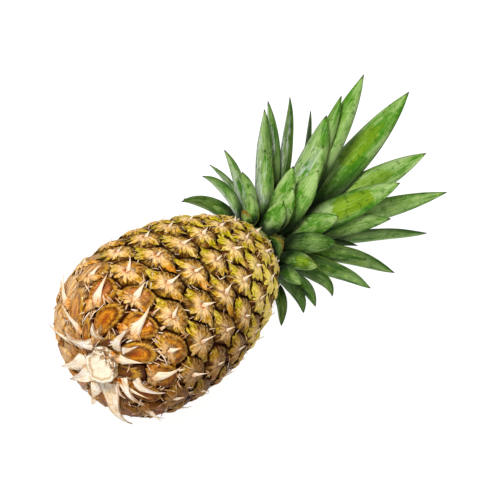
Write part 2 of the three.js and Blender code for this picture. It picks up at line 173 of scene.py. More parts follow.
class Value:
    def __init__(self, paint, socket):
        self.paint = paint
        self.socket = socket

    __add__ = __radd__ = operator("ADD")
    __sub__ = operator("SUBTRACT")
    __rsub__ = operator("SUBTRACT", swapped=True)
    __mul__ = __rmul__ = operator("MULTIPLY")
    __truediv__ = operator("DIVIDE")
    __pow__ = operator("POWER")

    def __abs__(self):
        return self.paint.math("ABSOLUTE", self)

    def sin(self):
        return self.paint.math("SINE", self)

    def rise(self, low, high):
        """0 below low and 1 above high, with a smooth step between."""
        inputs = {"Value": self, 1: low, 2: high}
        return self.paint.node("ShaderNodeMapRange", {"interpolation_type": "SMOOTHSTEP"}, inputs)

    def fall(self, low, high):
        return 1 - self.rise(low, high)

    def ramp(self, *stops):
        made = self.paint.node("ShaderNodeValToRGB", {}, [self])
        elements = made.socket.node.color_ramp.elements
        while len(elements) < len(stops):
            elements.new(0.5)
        for element, (place, code) in zip(elements, stops):
            element.position = place
            element.color = colour(code)
        return made


def colour(code):
    """A colour such as c2761c, as it looks on a screen, in the linear numbers that shaders use."""
    parts = [int(code[i : i + 2], 16) / 255 for i in (0, 2, 4)]
    return [p / 12.92 if p <= 0.04045 else ((p + 0.055) / 1.055) ** 2.4 for p in parts] + [1]


class Paint:
    def __init__(self, name, specular=0.5):
        self.material = bpy.data.materials.new(name)
        self.material.use_nodes = True
        self.tree = self.material.node_tree
        self.shader = self.tree.nodes["Principled BSDF"]
        self.put(self.shader.inputs["Specular IOR Level"], specular)

    def put(self, socket, value):
        if isinstance(value, Value):
            self.tree.links.new(value.socket, socket)
        else:
            socket.default_value = colour(value) if isinstance(value, str) else value

    def node(self, kind, settings, inputs=(), output=0):
        made = self.tree.nodes.new(kind)
        for name, setting in settings.items():
            setattr(made, name, setting)
        pairs = inputs.items() if isinstance(inputs, dict) else enumerate(inputs)
        for name, value in pairs:
            self.put(made.inputs[name], value)
        return Value(self, made.outputs[output])

    def math(self, operation, *values):
        return self.node("ShaderNodeMath", {"operation": operation}, values)

    def mix(self, share, first, second, blend="MIX"):
        sockets = {"Factor": share, 6: first, 7: second}
        settings = {"data_type": "RGBA", "blend_type": blend}
        return self.node("ShaderNodeMix", settings, sockets, 2)

    def coats(self, base, *layers):
        """Lays colours over a base, each given by its share, the colour and, if it isn't plain, its blend."""
        for share, *layer in layers:
            base = self.mix(share, base, *layer)
        return base

    def noted(self, name):
        """The three numbers kept for each vertex under a name."""
        vector = self.node("ShaderNodeAttribute", {"attribute_name": name}, output="Vector")
        made = self.node("ShaderNodeSeparateXYZ", {}, [vector])
        return [Value(self, socket) for socket in made.socket.node.outputs]

    def noise(self, scale, detail, rough, place=None):
        """Clouds over a place given by up to three numbers, or else over the piece itself."""
        if place:
            vector = self.node("ShaderNodeCombineXYZ", {}, place)
        else:
            vector = self.node("ShaderNodeTexCoord", {}, output="Object")
        inputs = {"Vector": vector, "Scale": scale, "Detail": detail, "Roughness": rough}
        return self.node("ShaderNodeTexNoise", {}, inputs)

    def bump(self, height, depth):
        return self.node("ShaderNodeBump", {}, {"Strength": 1.0, "Distance": depth * MM, "Height": height})

    def finish(self, **sockets):
        for name, value in sockets.items():
            self.put(self.shader.inputs[name.replace("_", " ")], value)
        print(f"the paint {self.material.name} has {len(self.tree.nodes)} nodes")
        return self.material


print("a colour reads", [round(c, 3) for c in colour("c2761c")])

# %% [markdown]
# ## Tools for meshes
# Each piece starts as a primitive, cut up in edit mode as by hand, and is then pressed to its place: its
# vertices are moved by a function of where they were. What a shader needs to know about a vertex is kept
# beside it as an attribute. Copies get their own mesh, and are joined at the end.

# %% Helpers for starting and pressing pieces
SEEDS = dict(corner=9000, eye=500, rind=900, star=300, fibre=7000, ruff=40, stub=78, leaf=70)
BUMP_WAVES = 5


def draws(kind, number=0):
    return np.random.default_rng(SEEDS[kind] + number)


def bumps(x, y, draw, scale):
    """A smooth random relief from a few crossed waves."""
    total = 0
    for _ in range(BUMP_WAVES):
        angle, phase = draw.random(2) * 2 * math.pi
        pace = scale * draw.uniform(0.6, 1.6)
        total = total + np.sin((x * math.cos(angle) + y * math.sin(angle)) * pace + phase)
    return total / BUMP_WAVES


def select(*pieces):
    """Selects these pieces alone. The last is the active one."""
    bpy.ops.object.select_all(action="DESELECT")
    for piece in pieces:
        piece.select_set(True)
        bpy.context.view_layer.objects.active = piece


def disc(rays, insets):
    """A flat disc of radius 1, cut into rings by insets, with its middle poked."""
    bpy.ops.mesh.primitive_circle_add(vertices=rays, radius=1, fill_type="NGON", enter_editmode=True)
    bpy.ops.mesh.select_mode(type="FACE")
    bpy.ops.mesh.select_all(action="SELECT")
    for inset in insets:
        bpy.ops.mesh.inset(thickness=inset)
    bpy.ops.mesh.poke()
    bpy.ops.object.mode_set(mode="OBJECT")
    return bpy.context.object


def insets_for(rings, rays):
    """The insets that put a disc's rings at these distances from its middle."""
    return [(wide - narrow) * math.cos(math.pi / rays) for wide, narrow in zip(rings, rings[1:])]


def sheet(columns, rows):
    """A flat grid, 2 wide and 2 long."""
    bpy.ops.mesh.primitive_grid_add(x_subdivisions=columns, y_subdivisions=rows, size=2)
    return bpy.context.object


def flat_places(piece):
    places = np.empty(len(piece.data.vertices) * 3)
    piece.data.vertices.foreach_get("co", places)
    return places.reshape(-1, 3)


def disc_places(piece):
    """How far each vertex of a disc is from its middle, and in which direction in degrees."""
    x, y, _ = flat_places(piece).T
    return np.hypot(x, y), np.degrees(np.arctan2(y, x))


def sheet_places(piece):
    """How far each vertex of a sheet is to the side, from -1 to 1, and how far along, from 0 to 1."""
    x, y, _ = flat_places(piece).T
    return x, (y + 1) / 2


def press(piece, places):
    piece.data.vertices.foreach_set("co", (places * MM).astype(np.float32).ravel())
    piece.data.update()


def note(piece, name, *values):
    """Keeps three numbers for each vertex where a material can read them."""
    count = len(piece.data.vertices)
    columns = [np.broadcast_to(np.asarray(v, float), count) for v in values]
    kept = piece.data.attributes.new(name, "FLOAT_VECTOR", "POINT")
    kept.data.foreach_set("vector", np.stack(columns, axis=1).astype(np.float32).ravel())


class Pile:
    """Copies of one flat piece, each pressed to its own place."""

    def __init__(self, master):
        self.master = master
        self.pieces = []

    def add(self, places, **notes):
        piece = self.master.copy()
        piece.data = self.master.data.copy()
        bpy.context.scene.collection.objects.link(piece)
        press(piece, places)
        for name, values in notes.items():
            note(piece, name, *values)
        self.pieces.append(piece)
        return piece

    def joined(self, name, welded=None):
        bpy.data.objects.remove(self.master)
        select(*reversed(self.pieces))
        bpy.ops.object.join()
        whole = bpy.context.object
        whole.name = name
        whole.data.name = name
        if welded:
            bpy.ops.object.mode_set(mode="EDIT")
            bpy.ops.mesh.select_all(action="SELECT")
            bpy.ops.mesh.remove_doubles(threshold=welded * MM)
            bpy.ops.object.mode_set(mode="OBJECT")
        bpy.ops.object.shade_smooth()
        print(name, "is joined from", len(self.pieces), "copies")
        return whole


def thicken(piece, thickness, side=0.0, under=0):
    """Gives a sheet a wall. Its under face may take another material."""
    select(piece)
    wall = piece.modifiers.new("wall", "SOLIDIFY")
    wall.thickness = thickness * MM
    wall.offset = side
    wall.material_offset = under
    bpy.ops.object.modifier_apply(modifier=wall.name)


def cover(piece, *materials):
    piece.data.materials.clear()
    for material in materials:
        piece.data.materials.append(material)


def dress(piece, slot, *nodes):
    """Sets a piece on the fruit and lets it stand for its nodes. Its slot, what it is made of, is not used.
    """
    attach(piece, "root")
    if nodes:
        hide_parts(*nodes)


print("the helpers are ready, with", len(SEEDS), "kinds of random draws")

# %% [markdown]
# ## The spiral of eyes
# A pineapple is many small fruits grown together. Their middles, the eyes, follow one spiral from the base
# to the crown, and every 8th, 9th and 17th eye along it are neighbours. So one formula places all of them,
# and the corner between three neighbours is the mean of their places.

# %% Eyes and their six corners
EYE_TURN = 42.53
EYE_RISE = 1.289
SPIRAL_START = 48.85  # the turn of the spike numbered 0, in degrees
SPIRAL_SLACK = 7.857  # degrees that the spiral falls back, a fruit's radius away from there
SPIRAL_HEIGHTS = (0.9144, 1, -0.0485, 0.0171)  # in fruit radii, the powers of the way along
LEFT, RIGHT, ABOVE = 8, 9, 17  # how many eyes later the neighbours come
CORNERS = [(0, RIGHT), (0, LEFT), (RIGHT, RIGHT), (ABOVE, LEFT), (ABOVE, RIGHT), (LEFT, LEFT)]
FIRST_EYE = -66
LAST_EYE = 93
HALF_WIDTH = 14.8
HALF_HEIGHT = 11
SETTLE = 4  # how near a pole the spiral starts to close in on it
CORNER_STRAY = (0.9, 0.7)  # degrees round and millimetres up
LOWEST_ROOT = -8.5
RIM_REACH = (1.5, 20)


def below(number, first, span):
    """1 up to an eye's number, then falling to 0 over a span of them."""
    return 1 - unit((number - first) / span)


def spike_place(number):
    """Where an eye's papery spike is rooted: a turn and a height."""
    m = EYE_RISE * number / FRUIT_RADIUS
    z = FRUIT_RADIUS * sum(share * m**power for power, share in enumerate(SPIRAL_HEIGHTS))
    return np.array([SPIRAL_START + EYE_TURN * number - SPIRAL_SLACK * m**2, z])


def eye_place(number):
    """The middle of an eye. The lower the eye, the nearer its spike is to its base side."""
    turn, z = spike_place(number)
    lower = below(number, -45, 32)
    return np.array([turn, z + 0.8 + 8.7 * lower**2 * (3 - 2 * lower)])


def closing(gap):
    return np.where(gap < SETTLE, SETTLE * np.exp(np.minimum(gap, SETTLE) / SETTLE - 1), gap)


def settled(z):
    """The height at which a place of the spiral lies, once the spiral has closed in on the two poles."""
    return FRUIT_LENGTH - closing(FRUIT_LENGTH - closing(z))


def corner(number, step):
    """The corner that an eye shares with two later ones, a little off the mean of their places."""
    first = eye_place(number)
    places = [first]
    for later in (step, ABOVE):
        turn, z = eye_place(number + later)
        places.append([turn - 360 * round(EYE_TURN * later / 360), z])
    stray = draws("corner", 20 * number + step).normal(0, CORNER_STRAY, 2)
    return np.mean(places, axis=0) + stray


def cell(number):
    """An eye's middle and its corners anticlockwise, each as a turn and a length along the skin."""
    middle = eye_place(number)
    corners = np.array([corner(number - earlier, step) for earlier, step in CORNERS])
    corners[:, 0] -= 360 * np.round((corners[:, 0] - middle[0]) / 360)
    for place in (middle, *corners):
        place[1] = length_at(settled(place[1]))
    return middle, corners


class Eye:
    """One eye: its cell, and how the millimetres of an eye in the middle of the fruit stretch to fit it."""

    def __init__(self, number):
        self.number = number
        self.middle, self.corners = cell(number)
        self.radius = float(fruit_radius(height_at(self.middle[1])))
        sides = np.radians(self.corners[:, 0] - self.middle[0]) * self.radius
        rises = self.corners[:, 1] - self.middle[1]
        self.wide = np.abs(sides).max() / HALF_WIDTH
        self.tall = np.sort(np.abs(rises))[2:].mean() / HALF_HEIGHT
        self.lower = below(number, -36, 22)
        spike = length_at(settled(spike_place(number)[1]))
        self.root = max(float(spike - self.middle[1]) / self.tall, LOWEST_ROOT)
        self.draw = draws("eye", number)
        self.tones = self.draw.random(2)
        self.along = float(height_at(self.middle[1]) / FRUIT_LENGTH)
        self.spot = (self.along, *self.tones)

    def skin(self, x, y, lift):
        """Places as they lie, x round the fruit and y towards the crown in the eye's own millimetres."""
        turn = self.middle[0] + np.degrees(x * self.wide / self.radius)
        return skin_place(turn, height_at(self.middle[1] + y * self.tall), lift)

    def own(self, turn, length):
        x = np.radians(turn - self.middle[0]) * self.radius / self.wide
        return x, (length - self.middle[1]) / self.tall

    def rim(self, middle, around):
        """How far the rim of the cell is from a place on it, in each direction in degrees."""
        ends = np.stack(self.own(self.corners[:, 0], self.corners[:, 1]), axis=1) - middle
        edges = np.roll(ends, -1, axis=0) - ends
        ways = np.stack(towards(around), axis=1)
        crossing = ways[:, :1] * edges[:, 1] - ways[:, 1:] * edges[:, 0]
        far = (ends[:, 0] * edges[:, 1] - ends[:, 1] * edges[:, 0]) / np.maximum(crossing, 1e-6)
        return np.clip(np.where(crossing > 1e-6, far, 99).min(axis=1), *RIM_REACH)


eyes = [Eye(number) for number in range(FIRST_EYE, LAST_EYE + 1)]


def eyes_from(first, last):
    return eyes[first - FIRST_EYE : last - FIRST_EYE + 1]


print(len(eyes), "eyes, the widest", round(max(e.wide for e in eyes) * 2 * HALF_WIDTH), "mm across")

# %% [markdown]
# ## The rind
# Each eye is a cushion with a rounded rim, low rings towards the crown, and a small hollow in its middle.
# It is modelled once, as a disc cut by insets, and each copy is stretched over its cell, so that its rim
# falls on its neighbours' rims. Welded together they make one skin, and small faces close it at each pole.

# %% Press one cushion to each eye
RIND_RAYS = 42
RIND_RINGS = [1, 0.97, 0.93, 0.89, 0.84, 0.785, 0.73, 0.665, 0.6, 0.52, 0.43, 0.34, 0.24, 0.13]
GROOVE_DEPTH = 3.4
HOLLOW = (0.2, 3.0)
RING_WIDTH = 0.16
WELD = 0.02


def hump(distance, breadth):
    return np.exp(-((distance / breadth) ** 2))


def cushion(eye, x, y, reach):
    """How far the rind stands above or below the tops of the eyes."""
    crownwards = unit(y / 6)
    steep = 8 - 3 * unit(-y / 6) - 2 * eye.lower
    lift = 0.6 - (1.3 - 0.7 * eye.lower) * reach**2 - (GROOVE_DEPTH - 0.6) * reach**steep
    lift = lift + eye.lower * (0.9 * hump(reach - 0.74, 0.14) - 0.7 * hump(reach, 0.3))
    rings = np.cos(2 * math.pi * (reach - 0.5) / RING_WIDTH)
    shown = unit((reach - 0.2) / 0.1) * unit((0.66 - reach) / 0.06)
    lift = lift + 0.25 * rings * shown * (crownwards * 0.5 + 0.5 * eye.lower)
    lift = lift - 0.8 * hump(np.hypot(x - HOLLOW[0], y - HOLLOW[1]), 1.7)
    lift = lift + 0.3 * bumps(x, y, draws("rind", eye.number), 0.6) * (1 - reach**4)
    return lift * min(1, eye.radius / 30)


cushions = Pile(disc(RIND_RAYS, insets_for(RIND_RINGS, RIND_RAYS)))
reaches, arounds = disc_places(cushions.master)
snapped = np.array(RIND_RINGS + [0])
reaches = snapped[np.abs(reaches[:, None] - snapped).argmin(axis=1)]
rounds = (arounds / 60) % 6
sides, shares = np.floor(rounds + 1e-6).astype(int) % 6, (rounds + 1e-6) % 1
shares[shares < 1e-4] = 0
for eye in eyes:
    start, end = eye.corners[sides], eye.corners[(sides + 1) % 6]
    rim = start + (end - start) * shares[:, None] - eye.middle
    softness = (0.1 + 0.08 * eye.lower) * (2 * np.abs(shares - 0.5)) ** 2 * (1 - reaches**8)
    places = eye.middle + rim * (reaches * (1 - softness))[:, None]
    x, y = eye.own(places[:, 0], places[:, 1])
    spots = skin_place(places[:, 0], height_at(places[:, 1]), cushion(eye, x, y, reaches))
    cushions.add(spots, eye=(x, y, reaches), lie=lie(spots), spot=eye.spot)
rind = cushions.joined("rind", welded=WELD)

# %% Close the skin at both poles
for at_base in (True, False):
    select(rind)
    bpy.ops.object.mode_set(mode="EDIT")
    bpy.ops.mesh.select_mode(type="EDGE")
    bpy.ops.mesh.select_all(action="DESELECT")
    bpy.ops.mesh.select_non_manifold(extend=False)
    bpy.ops.object.mode_set(mode="OBJECT")
    along_axis = (flat_places(rind) / MM - BASE_POLE) @ ALONG
    for edge in rind.data.edges:
        if edge.select and (along_axis[edge.vertices[0]] < FRUIT_LENGTH / 2) != at_base:
            edge.select = False
    bpy.ops.object.mode_set(mode="EDIT")
    bpy.ops.mesh.edge_face_add()
    bpy.ops.mesh.poke()
    bpy.ops.mesh.select_all(action="SELECT")
    bpy.ops.mesh.normals_make_consistent(inside=False)
    bpy.ops.object.mode_set(mode="OBJECT")
print("the rind has", len(rind.data.polygons), "faces once closed")

# %% [markdown]
# ## The rind's colour
# Near the base the eyes are amber and glossy, ringed in brown, and further on they are brown and mustard.
# The grooves between them are dark brown, painted nearly black as shade, with a row of pale hairs along their
# base side.
# The rim of each eye, most of all on its crown side, the fruit's underside and the rind round the stub are
# painted darker as shade. The attributes say where a vertex is on its eye, so the pattern follows the skin.

# %% Mix the rind's paint
RIND_SPECULAR = 0.06
paint = Paint("rind", RIND_SPECULAR)
across, upwards, reach = paint.noted("eye")
along, tone, tone_too = paint.noted("spot")
front, top, _ = paint.noted("lie")
far = (across**2 + upwards**2) ** 0.5 + 0.01
fan = (across / far * 5 + tone * 40, upwards / far * 5 + tone_too * 40, far * 0.15)
fibres = paint.noise(1.1, 4, 0.7, fan)
grain = paint.noise(420, 4, 0.6)
patches = paint.noise(130, 4, 0.65)
layers = paint.noise(0.45, 4, 0.7, (front * 100, top * 14, along * 60))
stray = patches - 0.5
swirl = reach + stray * 0.3
crownwards = upwards.rise(-2, 4)
near_base = (along + stray * 0.16).fall(0.08, 0.28)
papery = near_base * (front * -1).rise(0.08, 0.3)
brown = patches.ramp((0.3, "3a1a01"), (0.42, "663804"), (0.52, "8c5a08"), (0.62, "b07f14"), (0.74, "d0a83c"))
amber = swirl.ramp((0.0, "8a4204"), (0.16, "c0700c"), (0.38, "e89c1c"), (0.54, "a8620a"), (0.62, "542402"),
                   (0.69, "a4700e"), (0.8, "d8a428"), (0.88, "704404"), (0.97, "442204"))
plain = swirl.ramp((0.1, "a05404"), (0.3, "cc8212"), (0.5, "e0a440"), (0.66, "aa6610"), (0.8, "cc8a22"),
                   (0.96, "5a2602"))
amber = paint.mix((upwards + stray * 14).rise(-5, 1), plain, amber)
straw = layers.ramp((0.36, "7a4212"), (0.44, "c08c50"), (0.54, "e2bc88"), (0.64, "f0d8b0"))
pink = near_base * tone.rise(0.74, 0.8) * reach.fall(0.5, 0.62) * (front - top).fall(0, 0.4)
blots = (grain + stray * 0.5).rise(0.56, 0.62) * near_base * (1 - papery)
pale = fibres.rise(0.52, 0.62) * (0.75 - near_base * 0.5)
dark = fibres.fall(0.38, 0.48) * (0.75 - near_base * 0.25)
ring = (reach * (2 * math.pi / RING_WIDTH) + math.pi + patches * 9).sin() * 0.5 + 0.5
ringed = ring.rise(0.5, 0.9) * reach.rise(0.15, 0.3) * reach.fall(0.54, 0.6) * near_base
shaded = swirl.rise(0.46, 0.8) * (crownwards * 0.5 + 0.5) * (1 - near_base)
beads = (paint.math("ARCTAN2", upwards, across) * 23 + patches * 5).sin().rise(0.0, 0.5)
belt = reach.rise(0.74, 0.8) * reach.fall(0.88, 0.93)
fringe = beads * belt * (crownwards * 0.7 + near_base * 0.3) * grain.rise(0.42, 0.54)
downy = (grain + (fibres - 0.5) * 0.3).rise(0.5, 0.57) * reach.fall(0.6, 0.88) * (1 - near_base)
rusty = fibres.rise(0.46, 0.56) * far.fall(1.5, 3.6)
fuzz = grain.rise(0.52, 0.62) * near_base
# The grooves' own dark brown is painted nearly black, as the shade that falls in them.
groove = (reach + (grain - 0.5) * 0.14).rise(0.87, 0.97)
# Painted shade on the fruit's underside towards the front, fading out towards the crown; it also darkens the
# last multiply and takes the coat away.
under = (front - top).rise(0.05, 0.8) * (1 - along.rise(0.4, 0.7) * 0.7)
# Painted shade in the gaps between the ruff's bracts, on the rind round the stub.
from_stub = ((front - 0.15) ** 2 + (top - 0.09) ** 2) ** 0.5
stub_shade = (from_stub + stray * 0.1).fall(0.1, 0.22) * near_base
skin = paint.coats(
    brown,
    (reach.fall(0.25, 0.55) * 0.75, "d29c30"),
    (near_base, amber),
    (pink * 0.7, "b87454"),
    (patches.rise(0.58, 0.7) * near_base * 0.6, "f4b030"),
    (blots * 0.6, "6a2802"),
    (pale, "e8c26a"),
    (dark, "4a2000"),
    (ringed * 0.5 * fibres.rise(0.4, 0.55), "6a2a02"),
    (shaded * 0.8, "301200"),
    (fringe * 0.85, "e2c27c"),
    (downy * 0.6, "e8c078"),
    (rusty * 0.8, "b8500f"),
    (groove * (1 - fuzz * 0.7), paint.mix(near_base * 0.8, "1e0b01", "5a2a08")),
    (grain.rise(0.56, 0.7) * 0.5, "4a2004"),
    (papery * 0.75, straw),
    (under * 0.65, "3c1400"),
    (stub_shade * 0.8, "240a02"),
    (near_base * (1 - papery * 0.7) * 0.5 + under * 0.3, "ecd08c", "MULTIPLY"),
)
relief = paint.bump(grain * 0.5 + fibres * 0.7 + fringe * 0.5, 0.6)
gloss = 0.5 + groove * 0.3 - near_base * 0.12
shine = near_base * (1 - papery) * (1 - under) * (1 - stub_shade) * 0.3
cover(rind, paint.finish(Base_Color=skin, Roughness=gloss, Normal=relief, Coat_Weight=shine))
dress(rind, "rind", "fruit")

# %% [markdown]
# ## The bracts on the eyes
# Each eye is held in a star of scales, grown from one dried leaf: two long wings to the sides and four
# short points towards the base. The star is modelled once too, as a disc whose rim is drawn out into
# points. A ridge runs down each point, and the points reach over the grooves.

# %% Press one star to each eye
STAR_FIRST = -45
STAR_LAST = 91
STAR_RAYS = 48
STAR_RINGS = [1, 0.86, 0.7, 0.52, 0.34, 0.16]
STAR_WALL = 0.4
STAR_RAGGED = 0.13
LOBES = np.array([-24, -64, -107, -149])
LOBE_WIDTH = 21
WING_REACH = 1.13


def turned(around, way):
    """Degrees from one direction to others, the short way round."""
    return (around - way + 180) % 360 - 180


def star_outline(eye, middle, around):
    """The star's radius in each direction, and how near that is to the ridge of a point."""
    upper = unit((eye.along - 0.45) / 0.2)
    lobes = LOBES + eye.draw.normal(0, 7, 4)
    gap = np.abs(turned(around[:, None], lobes))
    deep = eye.draw.uniform(0.14, 0.42, 4)
    lobe = unit(1 - gap / LOBE_WIDTH) ** 1.2
    share = 0.68 + (lobe * deep).max(axis=1)
    left, right = -172 - 8 * upper + eye.draw.normal(0, 4), 6 - 4 * upper + eye.draw.normal(0, 4)
    wing = 0
    for way, inner in ((left, 1), (right, -1)):
        off = turned(around, way)
        wing = np.maximum(wing, hump(off, np.where(off * inner > 0, 20, 11 + 4 * upper)))
    crownside = (around > right) & (around < left + 360)
    share = np.where(crownside, 0.3, share)
    share = share + (WING_REACH * eye.draw.uniform(0.9, 1.08) - share) * wing
    return eye.rim(middle, around) * share, np.maximum(lobe.max(axis=1), wing)


stars = Pile(disc(STAR_RAYS, insets_for(STAR_RINGS, STAR_RAYS)))
outs, arounds = disc_places(stars.master)
arounds = np.where(arounds < -180 + 0.01, 180, arounds)
rays = np.round((arounds + 180) / 360 * STAR_RAYS).astype(int) % STAR_RAYS
ribs = np.cos(np.radians(arounds) * STAR_RAYS / 2)
aside, onwards = towards(arounds)
for eye in eyes_from(STAR_FIRST, STAR_LAST):
    middle = np.array([0.3, eye.root + 0.6])
    radius, ridge = star_outline(eye, middle, np.where(arounds < -90, arounds + 360, arounds))
    torn = 1 + STAR_RAGGED * eye.draw.normal(0, 1, STAR_RAYS).clip(-1.6, 1.6)
    radius = radius * (1 + (torn[rays] - 1) * outs**3)
    x, y = middle[0] + outs * radius * aside, middle[1] + outs * radius * onwards
    reach = unit(outs * radius / eye.rim(middle, arounds))
    floor_lift = np.maximum(cushion(eye, x, y, reach), -0.9)
    crest = 0.35 + 0.75 * ridge * np.sin(math.pi * outs**0.8) + 0.8 * unit(-onwards) * outs**3
    rough = 0.2 * bumps(x, y, draws("star", eye.number), 1.3) + 0.16 * ribs * np.sin(math.pi * outs)
    sunk = 0.9 * hump(outs * radius, 1.8)
    spots = eye.skin(x, y, floor_lift + crest + rough - sunk)
    notes = {"bract": (outs, ridge, eye.lower), "eye": (x, y - middle[1], reach)}
    stars.add(spots, lie=lie(spots), spot=eye.spot, **notes)
eye_bracts = stars.joined("eye_bracts")
thicken(eye_bracts, STAR_WALL, side=-1.0)

# %% Mix the bracts' paint
paint = Paint("eye_bracts", RIND_SPECULAR)
out, ridge, lower = paint.noted("bract")
across, upwards, reach = paint.noted("eye")
along, tone, tone_too = paint.noted("spot")
front, top, _ = paint.noted("lie")
far = (across**2 + upwards**2) ** 0.5 + 0.01
grain = paint.noise(400, 4, 0.65)
patches = paint.noise(120, 3, 0.6)
stray = patches - 0.5
fan = (across / far * 6 + tone * 50 + stray * 3, upwards / far * 6 + tone_too * 50, far * 0.12)
fibres = paint.noise(0.85, 3, 0.7, fan)
fine = paint.noise(2.2, 2, 0.6, fan)
travel = far / 14 + stray * 0.5
golden = travel.ramp((0.05, "a8340a"), (0.14, "f0a470"), (0.28, "f8d4a0"), (0.44, "e4b040"), (0.62, "c0900a"),
                     (0.9, "886c00"))
papery = travel.ramp((0.05, "b8621e"), (0.3, "eeb468"), (0.55, "e29424"), (0.8, "bc6c06"), (1.0, "843f02"))
upper = along.rise(0.3, 0.7)
wings = (across * -1).rise(0, 8) * 0.5 + across.rise(3, 9) * (0.1 + upper * 0.45)
side_green = wings + patches.rise(0.44, 0.58) * (0.35 + upper * 0.5)
green = side_green * reach.rise(0.42, 0.76) * (1 - lower) * fibres.rise(0.34, 0.44)
orange = across.rise(5, 10) * reach.rise(0.6, 0.85) * tone.rise(0.6, 0.9)
# Painted shade in the hollows between the star's points, away from their ridges.
lobe_gap_shade = ridge.fall(0.05, 0.45) * out.rise(0.5, 0.95)
halo = far.rise(1.2, 2.6) * far.fall(4.5, 9) * fine.rise(0.42, 0.5)
slit = far.fall(0.8, 2.8) * fibres.rise(0.42, 0.54)
# Painted shade on the fruit's underside towards the front, fading out towards the crown; it also darkens the
# last multiply.
under = (front - top).rise(0.05, 0.8) * (1 - along.rise(0.4, 0.7) * 0.85)
sunny = front.rise(0.2, 0.5) * along.rise(0.5, 0.8)
scales = paint.coats(
    golden,
    (lower, papery),
    (upper * 0.25, "f2c42c"),
    (fibres.rise(0.53, 0.59) * (1 - out * 0.3), "fee6b8"),
    (fibres.fall(0.37, 0.45) * (0.75 + out * 0.2), "541c00"),
    (fine.rise(0.58, 0.68) * 0.5, "ffecbc"),
    (fine.fall(0.35, 0.44) * 0.6, "702a00"),
    (green * 0.9, paint.mix(fine.rise(0.35, 0.6), "6c7a00", "e0cc1c")),
    (orange * 0.6 * (1 - upper * 0.6), "dc8a08"),
    (grain.rise(0.54, 0.62) * 0.4, "fce09c"),
    (grain.fall(0.37, 0.45) * 0.55, "5a2a00"),
    (lobe_gap_shade * 0.8, "3e1c00"),
    (halo * 0.45, "fff2d8"),
    (slit * 0.85, "a03c06"),
    (under * 0.65, "4c1e00"),
    (sunny * 0.55, "fff084"),
    (0.55, paint.mix(upper, "ffe0a0", "f8eca4"), "MULTIPLY"),
    (lower * 0.4 + under * 0.3, "ecd08c", "MULTIPLY"),
)
relief = paint.bump(fibres + fine * 0.5, 0.8)
cover(eye_bracts, paint.finish(Base_Color=scales, Roughness=0.55, Normal=relief))
dress(eye_bracts, "rind")

# %% [markdown]
# ## The papery spikes
# The tip of each bract has dried into a spike, white as paper and folded along its middle. It stands a
# little off the skin and points to the crown. Near the base the spikes are long and broad.

# %% Press one spike to each eye
SPIKE_FIRST = -45
SPIKE_LAST = 88
SPIKE_GRID = (4, 9)
SPIKE_WALL = 0.3
LEAST_SHRINK = 0.6
spikes = Pile(sheet(*SPIKE_GRID))
side, s = sheet_places(spikes.master)
for eye in eyes_from(SPIKE_FIRST, SPIKE_LAST):
    length = (9 + 9 * eye.lower) * eye.draw.uniform(0.6, 1.25)
    width = (2.7 + 3.4 * eye.lower) * eye.draw.uniform(0.75, 1.3)
    lean_x, lean_y = towards(eye.draw.normal(98 - 14 * eye.lower, 13))
    curl = eye.draw.normal(0, 0.2)
    shape = width / 2 * ((1 - s) ** 1.1 + (1.3 + 0.3 * eye.lower) * (1 - s) ** 3.5)
    forward = -1.6 + length * s
    aside = side * shape + curl * length * s**2
    x = (0.2 + forward * lean_x + aside * lean_y) / max(eye.wide, LEAST_SHRINK)
    y = (0.2 + forward * lean_y - aside * lean_x) / max(eye.tall, LEAST_SHRINK) + eye.root
    fold = (0.5 + 0.2 * np.sin(s * 7 + eye.number)) * np.abs(side) * shape
    lift = 0.5 + length * (0.16 + 0.14 * eye.tones[1]) * (s + 0.3 * s**2) - fold
    spikes.add(eye.skin(x, y, lift), spike=(s, side, eye.tones[0]))
eye_spikes = spikes.joined("eye_spikes")
thicken(eye_spikes, SPIKE_WALL)

# %% Mix the paper of the spikes
DRY_SPECULAR = 0.15
paint = Paint("papery_spike", DRY_SPECULAR)
s, side, own = paint.noted("spike")
streak = paint.noise(2.5, 3, 0.6, (side * 3 + own * 60, s * 1.2))
lengthwise = s + (streak - 0.5) * 0.6
paper = paint.coats(
    lengthwise.ramp((0.0, "bc7c40"), (0.14, "ecc290"), (0.4, "fbe8cc"), (0.9, "f4d8b0")),
    (streak.fall(0.36, 0.48) * 0.6, "a4642c"),
    (s.rise(0.88, 1.0) * 0.7, "8a5a26"),
)
spike_material = paint.finish(Base_Color=paper, Roughness=0.6, Normal=paint.bump(streak, 0.25))
cover(eye_spikes, spike_material)
dress(eye_spikes, "rind")

# %% [markdown]
# ## Loose fibres
# The bracts fray into small pale fibres that stand up from the grooves, most of them near the base.

